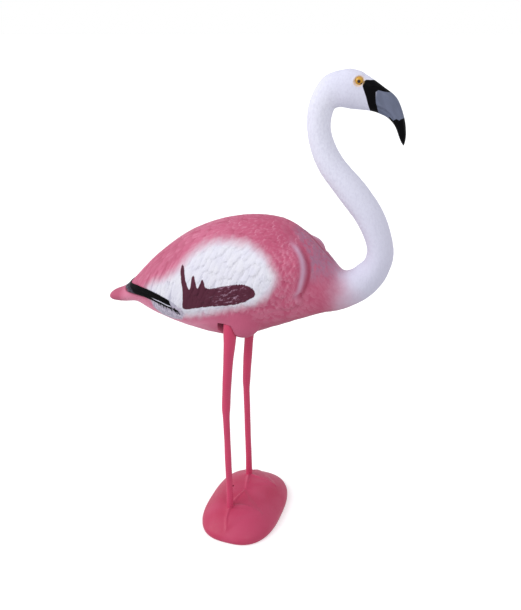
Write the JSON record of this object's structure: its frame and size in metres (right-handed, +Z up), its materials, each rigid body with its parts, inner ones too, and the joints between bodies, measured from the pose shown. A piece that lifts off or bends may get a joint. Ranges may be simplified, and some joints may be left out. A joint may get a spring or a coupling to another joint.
{
  "type": "garden flamingo ornament",
  "caption": "Moulded plastic flamingo with an S-shaped neck and folded wings, on two thin legs in a domed base with webbed feet.",
  "frame": {"origin": "centre of the base's flat underside, on the surface that the ornament stands on", "axes": "+X the way the bird faces, +Y to its left, +Z up from the base to the crown"},
  "size_m": [0.5591, 0.23, 0.8869],
  "materials": {
    "body_pink": "airbrushed pink paint on a moulded feather relief, soft sheen",
    "wing_paint": "airbrushed pink and white paint on a moulded feather relief, soft sheen",
    "flight_black": "brushed black paint, soft sheen",
    "neck_white": "off-white paint with a faint feather relief, soft sheen",
    "eye_yellow": "glossy painted eye, yellow with a black pupil",
    "bill_grey": "semi-gloss grey and black paint",
    "leg_pink": "dark pink plastic with fine rings",
    "base_pink": "smooth dark pink plastic, soft sheen"
  },
  "bodies": {
    "root": {"tail": "body_pink", "trunk": "body_pink", "wing_right": "wing_paint", "wing_left": "wing_paint", "flight_feathers_right": "flight_black", "flight_feathers_left": "flight_black", "neck_lower": "neck_white", "neck_middle": "neck_white", "neck_upper": "neck_white", "head": "neck_white", "eye_right": "eye_yellow", "eye_left": "eye_yellow", "bill_upper": "bill_grey", "bill_lower": "bill_grey", "leg_right": "leg_pink", "leg_left": "leg_pink", "foot_right": "base_pink", "foot_left": "base_pink", "base": "base_pink"}
  },
  "joints": []
}
